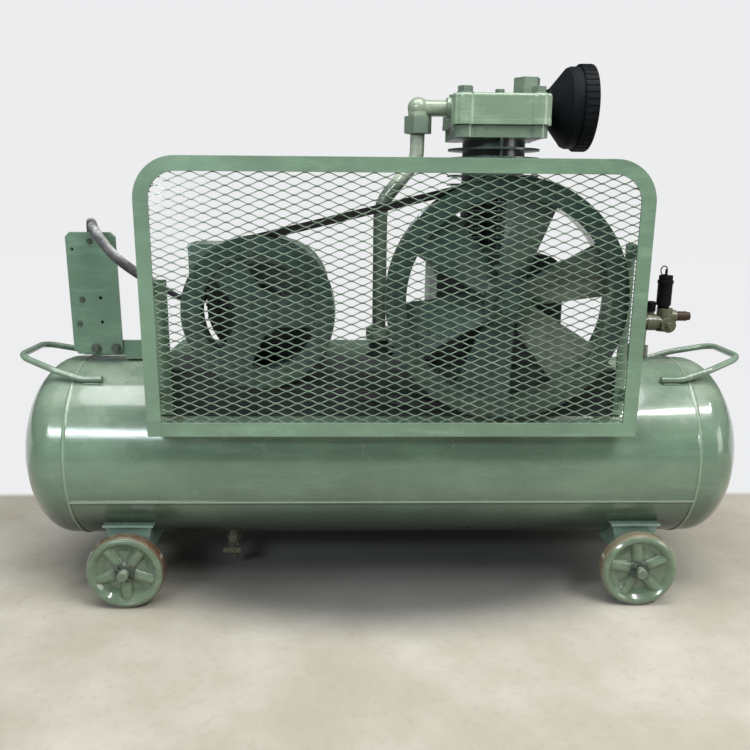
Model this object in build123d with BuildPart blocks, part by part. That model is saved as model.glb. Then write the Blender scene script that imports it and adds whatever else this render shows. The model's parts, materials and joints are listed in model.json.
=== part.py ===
"""Belt-driven air compressor on a wheeled horizontal tank.

Millimetres. +Z is up, the floor is z = 0, the tank lies along X and the belt guard faces -Y.
The origin is on the floor under the middle of the machine. Each piece is a solid of its own.
"""
from build123d import *
from math import cos, sin, radians, degrees, acos, hypot, tan
import os

os.makedirs("parts", exist_ok=True)

# ---- driving dimensions -------------------------------------------------------------------
TANK_R = 145
TANK_WALL = 3.2
TANK_Z = 215
SEAM_X = 476                      # ring welds between shell and heads
TANK_END_X = 570
BEAD_SUNK = 2.5                   # depth of the welds' centres below the surface
HEAD_FLANGE = 20                  # straight part of each head
BEAD = 4                          # radius of the ring welds

WHEEL_R = 59
WHEEL_X = 394
WHEEL_FACE = 160                  # distance of a wheel's outer face from the middle plane
WHEEL_WIDTH = 26
AXLE_R = 8
AXLE_END = 170
LEG_Y = 122                       # outer face of a leg's upright plate

BED_TOP = 367
BED_X = 350
BED_Y = 120
BED_PLATE = 6
BED_SKIRT = 4.5

MOTOR_X, MOTOR_Z = -181, 457
MOTOR_R = 80
MOTOR_FIN_R = 88
MOTOR_BACK = 177                  # rear of the fan cover
PULLEY_R = 107.5

CRANK_X, CRANK_Z = 169, 475.5
FLYWHEEL_R = 171.7
THROW = 30                        # half of the 60 mm stroke
ROD = 180
CYL_Y = 10                        # the cylinder's axis lies a little behind the middle plane
BORE_R = 40

BELT_Y = -142.5                   # middle plane of the V-belt
RIM_WIDTH = 35
BELT_TOP, BELT_DEPTH = 17, 11
BELT_ANGLE = 19                   # half angle of the V
BELT_GAP = 0.6                    # clearance of the belt in each groove

GUARD_FACE = -177
GUARD_LEFT, GUARD_RIGHT = -340, 360
GUARD_BOTTOM, GUARD_TOP = 283, 669
GUARD_BAR, GUARD_FLANGE, GUARD_WALL = 20, 27, 3
GUARD_CORNER = 58
MESH_LONG, MESH_SHORT, STRAND = 61, 24, 4
SHEET = 2                         # thickness of the expanded metal

PLATE_LEFT, PLATE_RIGHT = -489, -413
PLATE_BOTTOM, PLATE_TOP = 371, 561
PLATE_Y, PLATE_WALL = -25, 4
FIT = 0.05                        # radial clearance of a turning fit


def front(y):
    """Plane facing the front at depth y, with world X and Z as its own axes."""
    return Plane.XZ.offset(-y)


def outward(side, z=0):
    """Plane in the middle of the machine whose x runs out to one end, side = -1 or +1."""
    return Plane(origin=(0, 0, z), x_dir=(side, 0, 0), z_dir=(0, -side, 0))


def polar(center, radius, angle):
    """Point at a radius and an angle in degrees from a centre."""
    return (center[0] + radius * cos(radians(angle)), center[1] + radius * sin(radians(angle)))


def disc_x(center, x0, x1, outer, inner=0, mode=Mode.ADD):
    """Ring or disc about an axis along X through center = (y, z)."""
    with BuildSketch(Plane.YZ.offset(x0)) as ring:
        with Locations(center):
            Circle(outer)
            if inner:
                Circle(inner, mode=Mode.SUBTRACT)
    extrude(ring.sketch, amount=x1 - x0, mode=mode)


def disc_y(center, y0, y1, outer, inner=0, mode=Mode.ADD):
    """Ring or disc about an axis along Y through center = (x, z)."""
    with BuildSketch(front(y1)) as ring:
        with Locations(center):
            Circle(outer)
            if inner:
                Circle(inner, mode=Mode.SUBTRACT)
    extrude(ring.sketch, amount=y1 - y0, mode=mode)


def disc_z(center, z0, z1, outer, inner=0, mode=Mode.ADD):
    """Ring or disc about an axis along Z through center = (x, y)."""
    with BuildSketch(Plane.XY.offset(z0)) as ring:
        with Locations(center):
            Circle(outer)
            if inner:
                Circle(inner, mode=Mode.SUBTRACT)
    extrude(ring.sketch, amount=z1 - z0, mode=mode)


def hex_y(center, y0, y1, across, turn=0):
    """Hexagon prism along Y."""
    with BuildSketch(front(y1)) as hexagon:
        with Locations(center):
            RegularPolygon(across / 2, 6, major_radius=False, rotation=turn)
    extrude(hexagon.sketch, amount=y1 - y0)


def hex_z(center, z0, z1, across, bore=0, turn=0):
    """Hexagon prism along Z, with an optional bore."""
    with BuildSketch(Plane.XY.offset(z0)) as hexagon:
        with Locations(center):
            RegularPolygon(across / 2, 6, major_radius=False, rotation=turn)
            if bore:
                Circle(bore, mode=Mode.SUBTRACT)
    extrude(hexagon.sketch, amount=z1 - z0)


def block(x0, x1, y0, y1, z0, z1, mode=Mode.ADD):
    """Box between two corners."""
    with Locations(((x0 + x1) / 2, (y0 + y1) / 2, (z0 + z1) / 2)):
        Box(x1 - x0, y1 - y0, z1 - z0, mode=mode)


def turned_y(x, z, points, round_over=0, bore=0):
    """Solid of revolution about an axis along Y; points are (radius, y)."""
    with BuildSketch(Plane.XY.offset(z)) as profile:
        with BuildLine():
            Polyline([(x + r, y) for r, y in points], close=True)
        make_face()
        if round_over:
            outer = profile.vertices().filter_by(lambda v: v.X - x > bore + 0.5)
            fillet(outer, round_over)
    revolve(profile.sketch, axis=Axis((x, 0, z), (0, 1, 0)))


def tube(path_points, radii, radius):
    """Round bar swept along straight runs joined by tangent arcs."""
    with BuildLine() as path:
        FilletPolyline(*path_points, radius=radii)
    with BuildSketch(Plane(origin=path.line @ 0, z_dir=path.line % 0)) as section:
        Circle(radius)
    sweep(section.sketch, path=path.line)


def keep(piece, name):
    """Label one finished piece and write its STEP file."""
    piece.part.label = name
    export_step(piece.part, f"parts/{name}.step")


# ---- tank ---------------------------------------------------------------------------------
RISER_X = 418
CHECK_X = -7
DRAIN_X, DRAIN_Y = -249, -25
SOCKETS = [(RISER_X, 0, 13, 19), (CHECK_X, 0, 12, 18)]      # x, y, bore radius, outer radius
WELD_ANGLE = -20                                            # longitudinal weld, from the front

with BuildPart() as tank_shell:
    with BuildSketch(outward(1, TANK_Z)):
        with Locations((0, TANK_R - TANK_WALL / 2)):
            Rectangle(2 * SEAM_X, TANK_WALL)
        for end in (-1, 1):
            with Locations((end * SEAM_X, TANK_R - BEAD_SUNK)):
                Circle(BEAD)
        with Locations((SEAM_X + BEAD, TANK_R), (-SEAM_X - BEAD, TANK_R)):
            Rectangle(2 * BEAD, 6 * BEAD, mode=Mode.SUBTRACT)
    revolve(axis=Axis((0, 0, TANK_Z), (1, 0, 0)))
    weld_y = -(TANK_R - BEAD_SUNK) * cos(radians(WELD_ANGLE))
    weld_z = TANK_Z + (TANK_R - BEAD_SUNK) * sin(radians(WELD_ANGLE))
    disc_x((weld_y, weld_z), -SEAM_X, SEAM_X, BEAD)
    for x, y, bore, outer in SOCKETS:
        disc_z((x, y), TANK_Z + TANK_R - 8, TANK_Z + TANK_R + 3, outer)
    disc_z((DRAIN_X, DRAIN_Y), TANK_Z - TANK_R - 3, TANK_Z - TANK_R + 8, 16)
    for x, y, bore, outer in SOCKETS:
        disc_z((x, y), TANK_Z + TANK_R - 20, TANK_Z + TANK_R + 10, bore, mode=Mode.SUBTRACT)
    disc_z((DRAIN_X, DRAIN_Y), TANK_Z - TANK_R - 10, TANK_Z - TANK_R + 20, 9, mode=Mode.SUBTRACT)
keep(tank_shell, "tank_shell")

with BuildPart() as tank_heads:
    flange_x = SEAM_X + HEAD_FLANGE
    depth = TANK_END_X - flange_x
    for side in (-1, 1):
        with BuildSketch(outward(side, TANK_Z)):
            with BuildLine():
                Line((SEAM_X, TANK_R), (flange_x, TANK_R))
                EllipticalCenterArc((flange_x, 0), depth, TANK_R, start_angle=0, arc_size=90)
                Line((flange_x + depth, 0), (flange_x + depth - TANK_WALL, 0))
                EllipticalCenterArc((flange_x, 0), depth - TANK_WALL, TANK_R - TANK_WALL,
                                    start_angle=0, arc_size=90)
                Line((flange_x, TANK_R - TANK_WALL), (SEAM_X, TANK_R - TANK_WALL))
                Line((SEAM_X, TANK_R - TANK_WALL), (SEAM_X, TANK_R))
            make_face()
            with Locations((SEAM_X, TANK_R - BEAD_SUNK)):
                Circle(BEAD)
            with Locations((SEAM_X - BEAD, TANK_R)):
                Rectangle(2 * BEAD, 6 * BEAD, mode=Mode.SUBTRACT)
        revolve(axis=Axis((0, 0, TANK_Z), (1, 0, 0)))
keep(tank_heads, "tank_heads")


# ---- legs, axles and wheels ---------------------------------------------------------------
def leg(x):
    """Pressed leg: two trapezoid plates, two webs shaped to the tank and an outward top lip."""
    with BuildPart() as piece:
        for side in (-1, 1):
            y0, y1 = sorted((side * LEG_Y, side * (LEG_Y - 4.5)))
            with BuildSketch(front(y1)):
                with BuildLine():
                    Polyline((x - 36, 122), (x + 36, 122), (x + 22.5, WHEEL_R), (x - 22.5, WHEEL_R),
                             close=True)
                make_face()
                with Locations((x, WHEEL_R)):
                    Circle(22.5)
            extrude(amount=y1 - y0)
            block(x - 38.5, x + 38.5, *sorted((side * (LEG_Y + 4), side * 104)), 119, 122.5)
        for web_x in (x - 27, x + 23):
            block(web_x, web_x + 4, 0.5 - LEG_Y, LEG_Y - 0.5, 66, 120)
        disc_x((0, TANK_Z), x - 45, x + 45, TANK_R + 0.03, mode=Mode.SUBTRACT)
        disc_y((x, WHEEL_R), -LEG_Y - 5, LEG_Y + 5, AXLE_R + 0.02, mode=Mode.SUBTRACT)
    return piece


def wheel(x, side, turn):
    """Cast wheel with a rounded rim, a dished web and five raised ribs."""
    outline = [(AXLE_R + FIT, 4), (13.5, 4), (16, 9), (33, 12), (42, 8), (47, 2.5), (50, 0),
               (53.5, 0), (57, 2.5), (59, 7), (59, 19), (57, 23.5), (53.5, 26), (50, 26), (47, 23.5),
               (42, 18.5), (34, 17), (16, 18), (14, 26), (AXLE_R + FIT, 26)]
    with BuildPart() as piece:
        turned_y(x, WHEEL_R, [(r, side * (WHEEL_FACE - d)) for r, d in outline], 1.2, AXLE_R)
        for step in range(5):
            angle = radians(turn + 72 * step)
            reach = Vector(cos(angle), 0, sin(angle))
            start = Vector(x, side * (WHEEL_FACE - 13.5), WHEEL_R) + reach * 14
            with BuildSketch(Plane(origin=start, z_dir=reach)):
                Circle(10)
            extrude(amount=31)
    return piece


PLACES = {-1: "left", 1: "right"}
with BuildPart() as legs:
    for side in (-1, 1):
        add(leg(side * WHEEL_X).part)
keep(legs, "legs")

with BuildPart() as axles:
    for x in (-WHEEL_X, WHEEL_X):
        disc_y((x, WHEEL_R), -AXLE_END, AXLE_END, AXLE_R)
    chamfer(axles.edges().filter_by(GeomType.CIRCLE), 1)
    for y in (-AXLE_END + 8, AXLE_END - 8):
        for x in (-WHEEL_X, WHEEL_X):
            with BuildSketch(Plane(origin=(x - 9, y, WHEEL_R + 9), z_dir=(1, 0, -1))):
                Circle(1.9)
            extrude(amount=28, mode=Mode.SUBTRACT)
keep(axles, "axles")

for side, place in PLACES.items():
    keep(wheel(side * WHEEL_X, -1, 54 if side < 0 else 25), f"wheel_front_{place}")
    keep(wheel(side * WHEEL_X, 1, 40), f"wheel_rear_{place}")

with BuildPart() as wheel_retainers:
    for x in (-WHEEL_X, WHEEL_X):
        for side in (-1, 1):
            outer_face = WHEEL_FACE - 4 + 0.4
            inner_face = WHEEL_FACE - WHEEL_WIDTH - 0.4
            disc_y((x, WHEEL_R), *sorted((side * outer_face, side * (outer_face + 2.5))), 13.4,
                   AXLE_R + 0.02)
            disc_y((x, WHEEL_R), *sorted((side * (LEG_Y + 0.02), side * inner_face)), 13,
                   AXLE_R + 0.02)
            pin_y = side * (AXLE_END - 8)
            start = Vector(x - 10, pin_y, WHEEL_R + 10)
            with BuildSketch(Plane(origin=start, z_dir=(1, 0, -1))):
                Circle(1.6)
            extrude(amount=29)
            with BuildSketch(Plane(origin=start, z_dir=(1, 0, -1))):
                Circle(3)
            extrude(amount=-2.5)
keep(wheel_retainers, "wheel_retainers")


# ---- handles ------------------------------------------------------------------------------
def handle(side):
    """Carrying handle of bent round bar, its two feet lying along the tank."""
    foot_y, foot_z = 78, TANK_Z + ((TANK_R + 5.05) ** 2 - 78 ** 2) ** 0.5
    half = [(side * 431, foot_y, foot_z), (side * 464, foot_y, foot_z),
            (side * 505, 75, foot_z + 13), (side * 564.5, 50, 373)]
    points = [(x, -y, z) for x, y, z in half] + half[::-1]
    with BuildPart() as piece:
        tube(points, [50, 60, 28, 28, 60, 50], 5)
    return piece


for side, place in PLACES.items():
    keep(handle(side), f"handle_{place}")

# ---- drain cock ---------------------------------------------------------------------------
KEY_Z = 43
with BuildPart() as drain_cock_body:
    disc_z((DRAIN_X, DRAIN_Y), 62, 84, 8.98)
    hex_z((DRAIN_X, DRAIN_Y), 55, 66.9, 22)
    disc_z((DRAIN_X, DRAIN_Y), 30, 55, 10)
    disc_z((DRAIN_X, DRAIN_Y), 20.5, 30, 6)
    disc_y((DRAIN_X, KEY_Z), DRAIN_Y - 13, DRAIN_Y + 13, 8.5)
    disc_z((DRAIN_X, DRAIN_Y), 20, 85, 3, mode=Mode.SUBTRACT)
    disc_y((DRAIN_X, KEY_Z), DRAIN_Y - 14, DRAIN_Y + 14, 6 + FIT, mode=Mode.SUBTRACT)
keep(drain_cock_body, "drain_cock_body")

with BuildPart() as drain_cock_key:
    disc_y((DRAIN_X, KEY_Z), DRAIN_Y - 22, DRAIN_Y + 15, 6)
    disc_y((DRAIN_X, KEY_Z), DRAIN_Y + 13.5, DRAIN_Y + 17, 8)
    block(DRAIN_X - 15, DRAIN_X + 15, DRAIN_Y - 25, DRAIN_Y - 20, KEY_Z - 4, KEY_Z + 4)
    fillet(drain_cock_key.edges().filter_by(Axis.Y).filter_by(GeomType.LINE), 3)
    disc_z((DRAIN_X, DRAIN_Y), KEY_Z - 8, KEY_Z + 8, 2.8, mode=Mode.SUBTRACT)
keep(drain_cock_key, "drain_cock_key")

# ---- bed ----------------------------------------------------------------------------------
LUG_X = -95                       # belt-tension lug beside the motor
with BuildPart() as machine_bed:
    block(-BED_X, BED_X, -BED_Y, BED_Y, BED_TOP - BED_PLATE, BED_TOP)
    for side in (-1, 1):
        y0, y1 = sorted((side * BED_Y, side * (BED_Y - BED_SKIRT)))
        block(-BED_X, BED_X, y0, y1, 290, BED_TOP)
    disc_x((0, TANK_Z), -BED_X - 1, BED_X + 1, TANK_R + 0.03, mode=Mode.SUBTRACT)
    block(LUG_X, LUG_X + 6, -112, -82, BED_TOP, BED_TOP + 36)
    for x, radius in ((CHECK_X, 24), (MOTOR_X + 75, 5)):
        disc_z((x, 0), BED_TOP - 20, BED_TOP + 1, radius, mode=Mode.SUBTRACT)
keep(machine_bed, "machine_bed")

# ---- motor --------------------------------------------------------------------------------
MOTOR = (MOTOR_X, MOTOR_Z)
SHAFT_R = 12
with BuildPart() as motor_frame:
    disc_y(MOTOR, -80, 90, MOTOR_R, MOTOR_R - 8)
    for step in range(28):
        angle = 360 / 28 * step
        with BuildSketch(front(86)):
            with Locations(Location((MOTOR_X, MOTOR_Z), angle)):
                with Locations((MOTOR_R + 3.5, 0)):
                    Rectangle(9, 3)
        extrude(amount=162)
    for side in (-1, 1):
        block(*sorted((MOTOR_X + side * 88, MOTOR_X + side * 48)), -62, 66, BED_TOP, BED_TOP + 11)
        block(*sorted((MOTOR_X + side * 66, MOTOR_X + side * 56)), -62, 66, BED_TOP + 8, MOTOR_Z - 50)
    disc_y(MOTOR, -81, 91, MOTOR_R - 8, mode=Mode.SUBTRACT)
keep(motor_frame, "motor_frame")


def end_shield(y_joint, toward):
    """Domed end shield with a bearing hub; toward is -1 for the front and +1 for the rear."""
    steps = [(MOTOR_R + 4, 0), (MOTOR_R + 4, 8), (66, 16), (38, 20), (36, 26), (14, 26), (14, 22),
             (26.02, 22), (26.02, 7), (34, 7), (38, 12), (64, 8), (MOTOR_R - 10, 0)]
    with BuildPart() as piece:
        turned_y(MOTOR_X, MOTOR_Z, [(r, y_joint + toward * d) for r, d in steps])
    return piece


with BuildPart() as motor_end_shields:
    add(end_shield(-80.02, -1).part)
    add(end_shield(90.02, 1).part)
keep(motor_end_shields, "motor_end_shields")

with BuildPart() as motor_fan_cover:
    disc_y(MOTOR, 98.1, MOTOR_BACK, MOTOR_R + 7, MOTOR_R + 5)
    disc_y(MOTOR, MOTOR_BACK - 2, MOTOR_BACK, MOTOR_R + 7)
    for radius in (22, 40, 58, 74):
        holes = int(radius / 3.4)
        with BuildSketch(front(MOTOR_BACK + 1)):
            with Locations(MOTOR):
                with PolarLocations(radius, holes):
                    Circle(4.6)
        extrude(amount=6, mode=Mode.SUBTRACT)
    fillet(motor_fan_cover.edges().filter_by(GeomType.CIRCLE).filter_by(
        lambda e: e.radius > MOTOR_R + 6 and e.center().Y > MOTOR_BACK - 1), 1.5)
keep(motor_fan_cover, "motor_fan_cover")

with BuildPart() as motor_stator:
    disc_y(MOTOR, -45, 55, MOTOR_R - 8.02, 50.5)
    for y0, y1 in ((-62, -45), (55, 72)):
        disc_y(MOTOR, y0, y1, 68, 54)
keep(motor_stator, "motor_stator")

with BuildPart() as motor_rotor:
    disc_y(MOTOR, -161, -108, SHAFT_R)
    disc_y(MOTOR, -108, 118, SHAFT_R + 0.5)
    disc_y(MOTOR, 118, 150, 9)
    disc_y(MOTOR, -45, 55, 50)
keep(motor_rotor, "motor_rotor")

with BuildPart() as motor_fan:
    disc_y(MOTOR, 122, 146, 20, 9.02)
    disc_y(MOTOR, 122, 125, 62, 19)
    for step in range(6):
        with BuildSketch(front(148)):
            with Locations(Location((MOTOR_X, MOTOR_Z), 60 * step)):
                with Locations((41, 0)):
                    Rectangle(46, 3)
        extrude(amount=25)
keep(motor_fan, "motor_fan")


def grooved_rim(x, z, radius, inner):
    """Pulley rim with one V groove, centred on the belt plane."""
    half = RIM_WIDTH / 2
    slope = tan(radians(BELT_ANGLE))
    top = BELT_TOP / 2 + BELT_GAP + slope
    bottom = BELT_TOP / 2 + BELT_GAP - slope * (BELT_DEPTH + 1)
    floor = radius - BELT_DEPTH - 3
    turned_y(x, z, [(inner, BELT_Y - half), (radius, BELT_Y - half), (radius, BELT_Y - top),
                    (floor, BELT_Y - bottom), (floor, BELT_Y + bottom), (radius, BELT_Y + top),
                    (radius, BELT_Y + half), (inner, BELT_Y + half)])


with BuildPart() as motor_pulley:
    grooved_rim(MOTOR_X, MOTOR_Z, PULLEY_R, 81)
    disc_y(MOTOR, -156, -141, 82)
    disc_y(MOTOR, -158, -122, 27)
    with BuildSketch(front(-130)) as openings:
        for middle in (63, 183, 303):
            with BuildLine():
                CenterArc(MOTOR, 80, middle - 43, 86)
                Line(polar(MOTOR, 80, middle + 43), polar(MOTOR, 33, middle + 20))
                CenterArc(MOTOR, 33, middle - 20, 40)
                Line(polar(MOTOR, 33, middle - 20), polar(MOTOR, 80, middle - 43))
            make_face()
        fillet(openings.vertices(), 8)
    extrude(amount=40, mode=Mode.SUBTRACT)
    disc_y(MOTOR, -165, -115, SHAFT_R + 0.02, mode=Mode.SUBTRACT)
keep(motor_pulley, "motor_pulley")

BOX_BOTTOM, BOX_TOP, BOX_LEFT = 482, 545, -297
with BuildPart() as terminal_box:
    block(BOX_LEFT, -235, -34, 44, BOX_BOTTOM, BOX_TOP)
    fillet(terminal_box.edges().filter_by(Axis.Y), 8)
    disc_y(MOTOR, -80, 90, MOTOR_FIN_R + 0.3, mode=Mode.SUBTRACT)
    block(BOX_LEFT - 1, BOX_LEFT + 30, -31, 41, BOX_BOTTOM + 4, BOX_TOP - 4, mode=Mode.SUBTRACT)
    disc_z((-284, -4), BOX_BOTTOM - 11, BOX_BOTTOM + 1, 9)
    disc_z((-284, -4), BOX_BOTTOM - 12, BOX_BOTTOM + 5, 4.6, mode=Mode.SUBTRACT)
keep(terminal_box, "terminal_box")

with BuildPart() as terminal_box_lid:
    block(BOX_LEFT - 4, BOX_LEFT - 0.05, -34, 44, BOX_BOTTOM, BOX_TOP)
    fillet(terminal_box_lid.edges().filter_by(Axis.X), 6)
    for y in (-28, 38):
        for z in (BOX_BOTTOM + 6, BOX_TOP - 6):
            disc_x((y, z), BOX_LEFT - 6, BOX_LEFT - 3, 3)
keep(terminal_box_lid, "terminal_box_lid")


# ---- pump: crankcase and covers -----------------------------------------------------------
CRANK = (CRANK_X, CRANK_Z)
CASE_HALF, CASE_Y, CASE_TOP = 94, 95, 536
BEARING_R, JOURNAL_R = 36, 17.5
BEARINGS = ((-85, -68), (-42, -25))
with BuildPart() as crankcase:
    with BuildSketch(front(CASE_Y)) as section:
        with Locations((CRANK_X, (BED_TOP + CASE_TOP) / 2)):
            Rectangle(2 * CASE_HALF, CASE_TOP - BED_TOP)
        fillet(section.vertices().group_by(Axis.Y)[-1], 34)
    extrude(amount=2 * CASE_Y)
    with BuildSketch(front(CASE_Y + 1)) as cavity:
        with Locations((CRANK_X, (BED_TOP + 10 + CASE_TOP - 8) / 2)):
            Rectangle(2 * CASE_HALF - 18, CASE_TOP - BED_TOP - 18)
        fillet(cavity.vertices(), 26)
    extrude(amount=2 * CASE_Y - 9, mode=Mode.SUBTRACT)
    block(CRANK_X - 112, CRANK_X + 112, -CASE_Y, CASE_Y, BED_TOP, BED_TOP + 12)
    disc_z((CRANK_X, CYL_Y), CASE_TOP - 20, CASE_TOP + 1, BORE_R + 6, mode=Mode.SUBTRACT)
    block(CRANK_X - 59, CRANK_X + 59, CYL_Y - 17, CYL_Y + 17, CASE_TOP - 20, CASE_TOP + 1,
          mode=Mode.SUBTRACT)
    disc_y(CRANK, -100, -22, BEARING_R + 10)
    disc_y(CRANK, -101, -21, BEARING_R + 0.02, mode=Mode.SUBTRACT)
    with Locations(*[(CRANK_X + sx * 103, sy * 70, BED_TOP + 12) for sx in (-1, 1)
                     for sy in (-1, 1)]):
        CounterBoreHole(5.5, 10, 2, depth=12)
    disc_x((-40, CRANK_Z - 55), CRANK_X - CASE_HALF - 14, CRANK_X - CASE_HALF + 2, 15)
    disc_x((-40, CRANK_Z - 55), CRANK_X - CASE_HALF - 15, CRANK_X - CASE_HALF + 12, 10,
           mode=Mode.SUBTRACT)
keep(crankcase, "crankcase")

with BuildPart() as crankcase_rear_cover:
    with BuildSketch(front(CASE_Y + 9)) as plate:
        with Locations((CRANK_X, (BED_TOP + 14 + CASE_TOP - 2) / 2)):
            Rectangle(2 * CASE_HALF - 4, CASE_TOP - BED_TOP - 16)
        fillet(plate.vertices(), 30)
    extrude(amount=8.95)
    disc_y(CRANK, CASE_Y + 8, CASE_Y + 20, 42)
    with Locations(*[Pos(CRANK_X + 82 * cos(radians(a)), CASE_Y + 11, CRANK_Z - 24 + 66 * sin(radians(a)))
                     * Rot(90, 0, 0) for a in range(30, 360, 60)]):
        Cylinder(6, 5)
    disc_y((CRANK_X, 412), CASE_Y - 1, CASE_Y + 10, 14, mode=Mode.SUBTRACT)
keep(crankcase_rear_cover, "crankcase_rear_cover")

with BuildPart() as oil_fittings:
    disc_y((CRANK_X, 412), CASE_Y + 1, CASE_Y + 9, 13.98)
    disc_y((CRANK_X, 412), CASE_Y + 9, CASE_Y + 13, 17, 10)
    plug_x = CRANK_X - CASE_HALF - 14
    disc_x((-40, CRANK_Z - 55), plug_x + 0.05, plug_x + 20, 9.98)
    disc_x((-40, CRANK_Z - 55), plug_x - 10, plug_x + 0.05, 9.98)
    disc_x((-40, CRANK_Z - 55), plug_x - 10, plug_x - 0.02, 14)
keep(oil_fittings, "oil_fittings")

with BuildPart() as bearing_cover:
    disc_y(CRANK, -107, -100.05, BEARING_R + 9, JOURNAL_R + 1)
    disc_y(CRANK, -100.05, -85.1, BEARING_R - 0.02, BEARING_R - 8)
    with BuildSketch(front(-107)):
        with Locations(CRANK):
            with PolarLocations(40, 6):
                RegularPolygon(5, 6)
    extrude(amount=4)
keep(bearing_cover, "bearing_cover")

with BuildPart() as ball_bearings:
    for y0, y1 in BEARINGS:
        disc_y(CRANK, y0, y1, BEARING_R, BEARING_R - 6)
        disc_y(CRANK, y0, y1, JOURNAL_R + 6, JOURNAL_R + FIT)
        disc_y(CRANK, (y0 + y1) / 2 - 3, (y0 + y1) / 2 + 3, BEARING_R - 6, JOURNAL_R + 6)
    for y0, y1 in ((-102.02, -87.02), (97.02, 112.02)):
        disc_y(MOTOR, y0, y1, 26, SHAFT_R + 0.5 + FIT)
keep(ball_bearings, "ball_bearings")

# ---- pump: crankshaft, rod, piston --------------------------------------------------------
ROD_Y0, ROD_Y1 = CYL_Y - 12, CYL_Y + 12
PIN_Z = CRANK_Z + THROW           # crank pin and piston are drawn at top dead centre
WRIST_Z = PIN_Z + ROD
CROWN_Z = WRIST_Z + 33
with BuildPart() as crankshaft:
    disc_y(CRANK, -163, -108, 16)
    disc_y(CRANK, -108, -18, JOURNAL_R)
    hex_y(CRANK, -170, -162, 30)
    disc_y(CRANK, -18, ROD_Y0 - 0.5, 28)
    with BuildSketch(front(ROD_Y0 - 0.5)):
        with Locations((CRANK_X, CRANK_Z + 14)):
            Rectangle(44, 62)
        with Locations((CRANK_X, CRANK_Z - 32)):
            Rectangle(96, 44)
        with Locations(CRANK):
            Circle(62, mode=Mode.INTERSECT)
    extrude(amount=ROD_Y0 - 0.5 + 18)
keep(crankshaft, "crankshaft")

with BuildPart() as connecting_rod:
    disc_y((CRANK_X, PIN_Z), ROD_Y0, ROD_Y1, 25, 14.02)
    disc_y((CRANK_X, WRIST_Z), CYL_Y - 10, CYL_Y + 10, 15)
    with BuildSketch(front(CYL_Y + 6)):
        with BuildLine():
            Polyline((CRANK_X - 13, PIN_Z + 18), (CRANK_X + 13, PIN_Z + 18),
                     (CRANK_X + 8.5, WRIST_Z - 10), (CRANK_X - 8.5, WRIST_Z - 10), close=True)
        make_face()
    extrude(amount=12)
    disc_y((CRANK_X, WRIST_Z), CYL_Y - 11, CYL_Y + 11, 9 + FIT, mode=Mode.SUBTRACT)
    disc_y((CRANK_X, PIN_Z), ROD_Y0, ROD_Y1 + 2, 14)
keep(connecting_rod, "connecting_rod")

PISTON_R = BORE_R - 0.08
RING_GROOVES = [CROWN_Z - 8 - 6 * step for step in range(3)]
with BuildPart() as piston:
    disc_z((CRANK_X, CYL_Y), CROWN_Z - 58, CROWN_Z, PISTON_R)
    disc_z((CRANK_X, CYL_Y), CROWN_Z - 59, CROWN_Z - 8, PISTON_R - 6, mode=Mode.SUBTRACT)
    for side in (-1, 1):
        disc_y((CRANK_X, WRIST_Z), *sorted((CYL_Y + side * 11, CYL_Y + side * 35)), 14)
    for z in RING_GROOVES:
        disc_z((CRANK_X, CYL_Y), z - 2.5, z, PISTON_R + 1, PISTON_R - 3, mode=Mode.SUBTRACT)
    disc_y((CRANK_X, WRIST_Z), CYL_Y - 45, CYL_Y + 45, 9.02, mode=Mode.SUBTRACT)
    disc_y((CRANK_X, WRIST_Z), CYL_Y - 33, CYL_Y + 33, 9, 5)
keep(piston, "piston")

with BuildPart() as piston_rings:
    for z in RING_GROOVES:
        disc_z((CRANK_X, CYL_Y), z - 2.45, z - 0.05, BORE_R - 0.04, PISTON_R - 2.9)
keep(piston_rings, "piston_rings")

# ---- pump: flywheel -----------------------------------------------------------------------
BLADES = [78 + 60 * step for step in range(6)]
with BuildPart() as flywheel:
    grooved_rim(CRANK_X, CRANK_Z, FLYWHEEL_R, 143)
    disc_y(CRANK, -160, -112, 33)
    for angle in BLADES:
        out = Vector(cos(radians(angle)), 0, sin(radians(angle)))
        across = Vector(-sin(radians(angle)), 0, cos(radians(angle)))
        middle = Vector(CRANK_X, BELT_Y, CRANK_Z)
        for reach, width, pitch in ((24, 40, 32), (146, 84, 17)):
            with BuildSketch(Plane(origin=middle + out * reach, x_dir=across, z_dir=out)):
                Rectangle(width, 6.5, rotation=pitch)
        loft()
    disc_y(CRANK, -175, -100, 16.02, mode=Mode.SUBTRACT)
keep(flywheel, "flywheel")

# ---- pump: cylinder and head --------------------------------------------------------------
BOLT_AT = 54                      # head bolts from the cylinder's axis, both ways
FLANGE_TOP, PLATE_Z = 703, 721
HEAD_BOTTOM, HEAD_TOP = 728, 765
HEAD_BOLTS = [(CRANK_X + sx * BOLT_AT, CYL_Y + sy * BOLT_AT) for sx in (-1, 1) for sy in (-1, 1)]


def head_outline(boss, inset=0):
    """Square with a round boss at each head bolt."""
    with Locations((CRANK_X, CYL_Y)):
        Rectangle(2 * (BOLT_AT + boss - 4 - inset), 2 * (BOLT_AT + boss - 4 - inset))
    with Locations(*HEAD_BOLTS):
        Circle(boss)


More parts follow.
